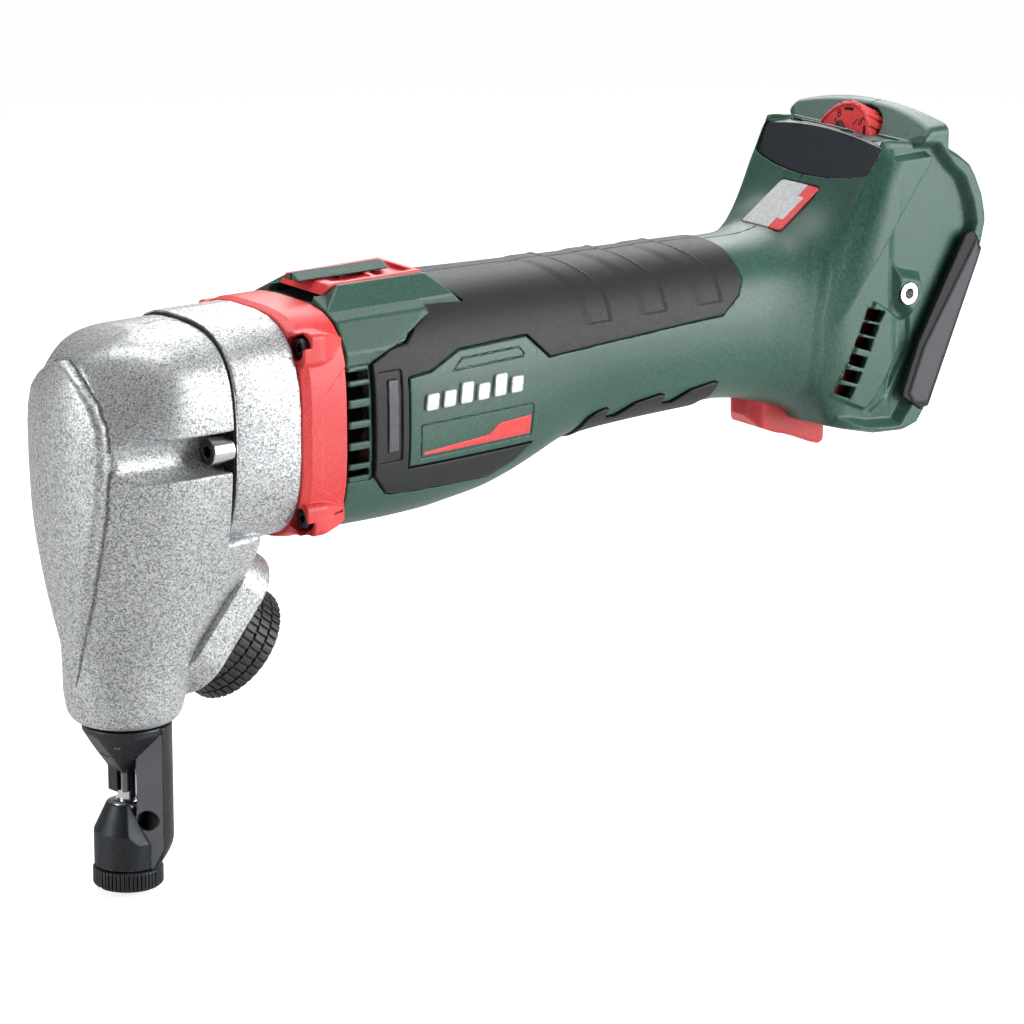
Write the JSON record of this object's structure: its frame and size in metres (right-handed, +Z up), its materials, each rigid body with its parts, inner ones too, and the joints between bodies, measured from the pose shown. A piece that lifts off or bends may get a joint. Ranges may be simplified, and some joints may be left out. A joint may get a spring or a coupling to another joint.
{
  "type": "nibbler tool",
  "caption": "Cordless sheet metal nibbler: right-angle cast head with punch and die, slim in-line motor body, slide switch, speed dial and battery foot.",
  "frame": {"origin": "centre of the die's top edge on the punch axis, where the punch cuts", "axes": "+Z up along the punch axis, +X from the head back to the battery foot, Y across the tool"},
  "size_m": [0.3883, 0.0792, 0.2366],
  "materials": {
    "cast_aluminium": "blasted die casting",
    "seal_rubber": "matt",
    "bright_steel": "ground",
    "red_plastic": "satin moulded",
    "black_steel": "black oxide",
    "shaft_steel": "machined",
    "bronze": "sintered",
    "laminations": "stacked",
    "copper": "enamelled",
    "black_plastic": "satin",
    "insulator_plastic": "natural",
    "circuit_board": "solder mask",
    "green_plastic": "fine spark texture",
    "soft_grip": "soft touch",
    "badge_silver": "satin silver",
    "brass_metal": "turned"
  },
  "bodies": {
    "tool_body": {"head_casting": "cast_aluminium", "gear_housing": "cast_aluminium", "head_gasket": "seal_rubber", "head_screws": "bright_steel", "flange_ring": "red_plastic", "flange_screws": "black_steel", "ram_upper_bush": "bronze", "ram_lower_bush": "bronze", "ram_wiper": "seal_rubber", "eccentric_front_bearing": "bright_steel", "eccentric_rear_bearing": "bright_steel", "lock_shoe": "bronze", "motor_front_bearing": "bright_steel", "motor_rear_bearing": "bright_steel", "stator_core": "laminations", "stator_windings": "copper", "stator_insulator": "insulator_plastic", "motor_sensor_board": "circuit_board", "motor_bracket": "black_plastic", "housing_left": "green_plastic", "housing_right": "green_plastic", "grip_left": "soft_grip", "grip_right": "soft_grip", "lower_grip_pad": "soft_grip", "name_plate_left": "green_plastic", "name_plate_right": "green_plastic", "switch_module": "black_plastic", "electronics_module": "black_plastic", "dial_board": "circuit_board", "dial_cover": "black_plastic", "led_window": "black_plastic", "badge": "badge_silver", "foot_bumpers": "soft_grip", "hook_inserts": "bright_steel", "battery_rails": "black_plastic", "battery_contacts": "brass_metal", "air_duct": "red_plastic", "release_spring": "bright_steel", "housing_screws": "black_steel"},
    "ram_unit": {"ram": "shaft_steel", "punch": "bright_steel", "punch_set_screw": "black_steel"},
    "eccentric_unit": {"eccentric_shaft": "shaft_steel", "crank_roller": "bright_steel", "drive_gear": "shaft_steel"},
    "rotor_unit": {"rotor_core": "laminations", "rotor_shaft": "shaft_steel", "cooling_fan": "black_plastic"},
    "die_unit": {"die_holder": "black_steel", "die": "bright_steel"},
    "die_nut_unit": {"die_nut": "black_steel"},
    "lock_unit": {"lock_knob": "black_steel", "lock_spindle": "shaft_steel"},
    "switch_unit": {"switch_slider": "red_plastic", "switch_rod": "insulator_plastic"},
    "dial_unit": {"speed_dial": "red_plastic"},
    "release_unit": {"release_button": "red_plastic"}
  },
  "joints": [
    {"name": "ram_slide", "type": "slide", "parent": "tool_body", "child": "ram_unit", "axis": [0, 0, 1], "range_m": [-0.003, 0.003]},
    {"name": "rotor_spin", "type": "hinge", "parent": "tool_body", "child": "rotor_unit", "pos_m": [0.1, 0, 0.1285], "axis": [1, 0, 0], "continuous": true},
    {"name": "eccentric_spin", "type": "hinge", "parent": "tool_body", "child": "eccentric_unit", "pos_m": [0.04, 0, 0.1117], "axis": [1, 0, 0], "continuous": true},
    {"name": "die_holder_turn", "type": "hinge", "parent": "tool_body", "child": "die_unit", "pos_m": [0, 0, 0.051], "axis": [0, 0, 1], "continuous": true},
    {"name": "die_nut_turn", "type": "hinge", "parent": "die_unit", "child": "die_nut_unit", "pos_m": [0, 0, -0.024], "axis": [0, 0, 1], "continuous": true},
    {"name": "lock_knob_turn", "type": "hinge", "parent": "tool_body", "child": "lock_unit", "pos_m": [0.0452, 0, 0.0483], "axis": [0.7815, 0, -0.6239], "range_deg": [0, 180]},
    {"name": "switch_slide", "type": "slide", "parent": "tool_body", "child": "switch_unit", "axis": [-1, 0, 0], "range_m": [0, 0.006]},
    {"name": "speed_dial_turn", "type": "hinge", "parent": "tool_body", "child": "dial_unit", "pos_m": [0.3116, 0, 0.1946], "axis": [-0.8944, 0, 0.4472], "range_deg": [-130, 130]},
    {"name": "release_press", "type": "slide", "parent": "tool_body", "child": "release_unit", "axis": [0, 0, 1], "range_m": [0, 0.004], "stiffness_N_per_m": 900, "springref_m": -0.002, "deforming": ["release_spring"]}
  ],
  "couplings": [
    {"joint": "rotor_spin", "follows": "eccentric_spin", "ratio": -3.6667}
  ]
}
